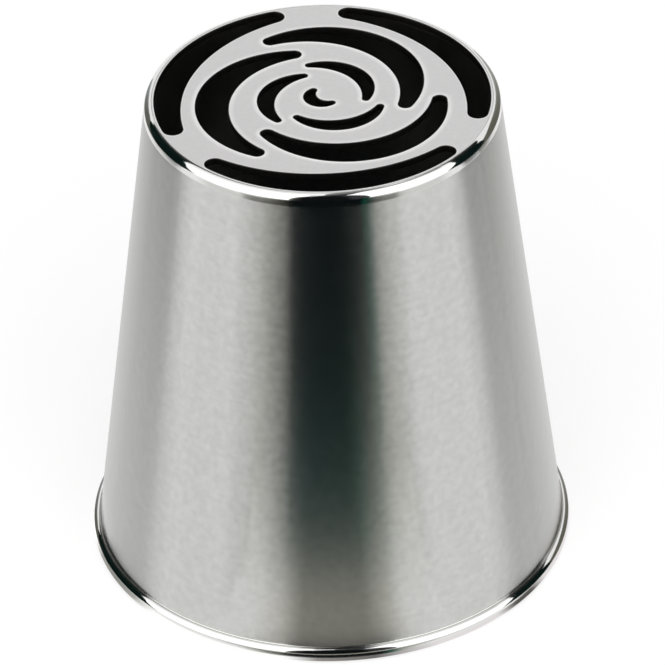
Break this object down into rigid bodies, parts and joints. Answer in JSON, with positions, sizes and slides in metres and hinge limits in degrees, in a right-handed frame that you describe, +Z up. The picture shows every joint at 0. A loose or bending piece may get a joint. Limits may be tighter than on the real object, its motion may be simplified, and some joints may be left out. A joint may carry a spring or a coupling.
{
  "type": "piping nozzle",
  "caption": "Tapered steel nozzle for a piping bag: open hemmed foot, and a flat face whose spiralling crescent slots shape icing into a whole rose.",
  "frame": {"origin": "centre of the hemmed foot, on the surface that it stands on", "axes": "+Z up the nozzle's axis, from the open foot to the slotted face; +X and +Y lie in the table's plane, with +Y away from the picture's viewer"},
  "size_m": [0.035, 0.035, 0.0368],
  "materials": {
    "shell_steel": "satin wall, polished shoulder and hem",
    "plate_steel": "fine matt face",
    "weld_steel": "as welded"
  },
  "bodies": {
    "root": {"cone_shell": "shell_steel", "face_plate": "plate_steel", "weld_seam": "weld_steel"}
  },
  "joints": []
}
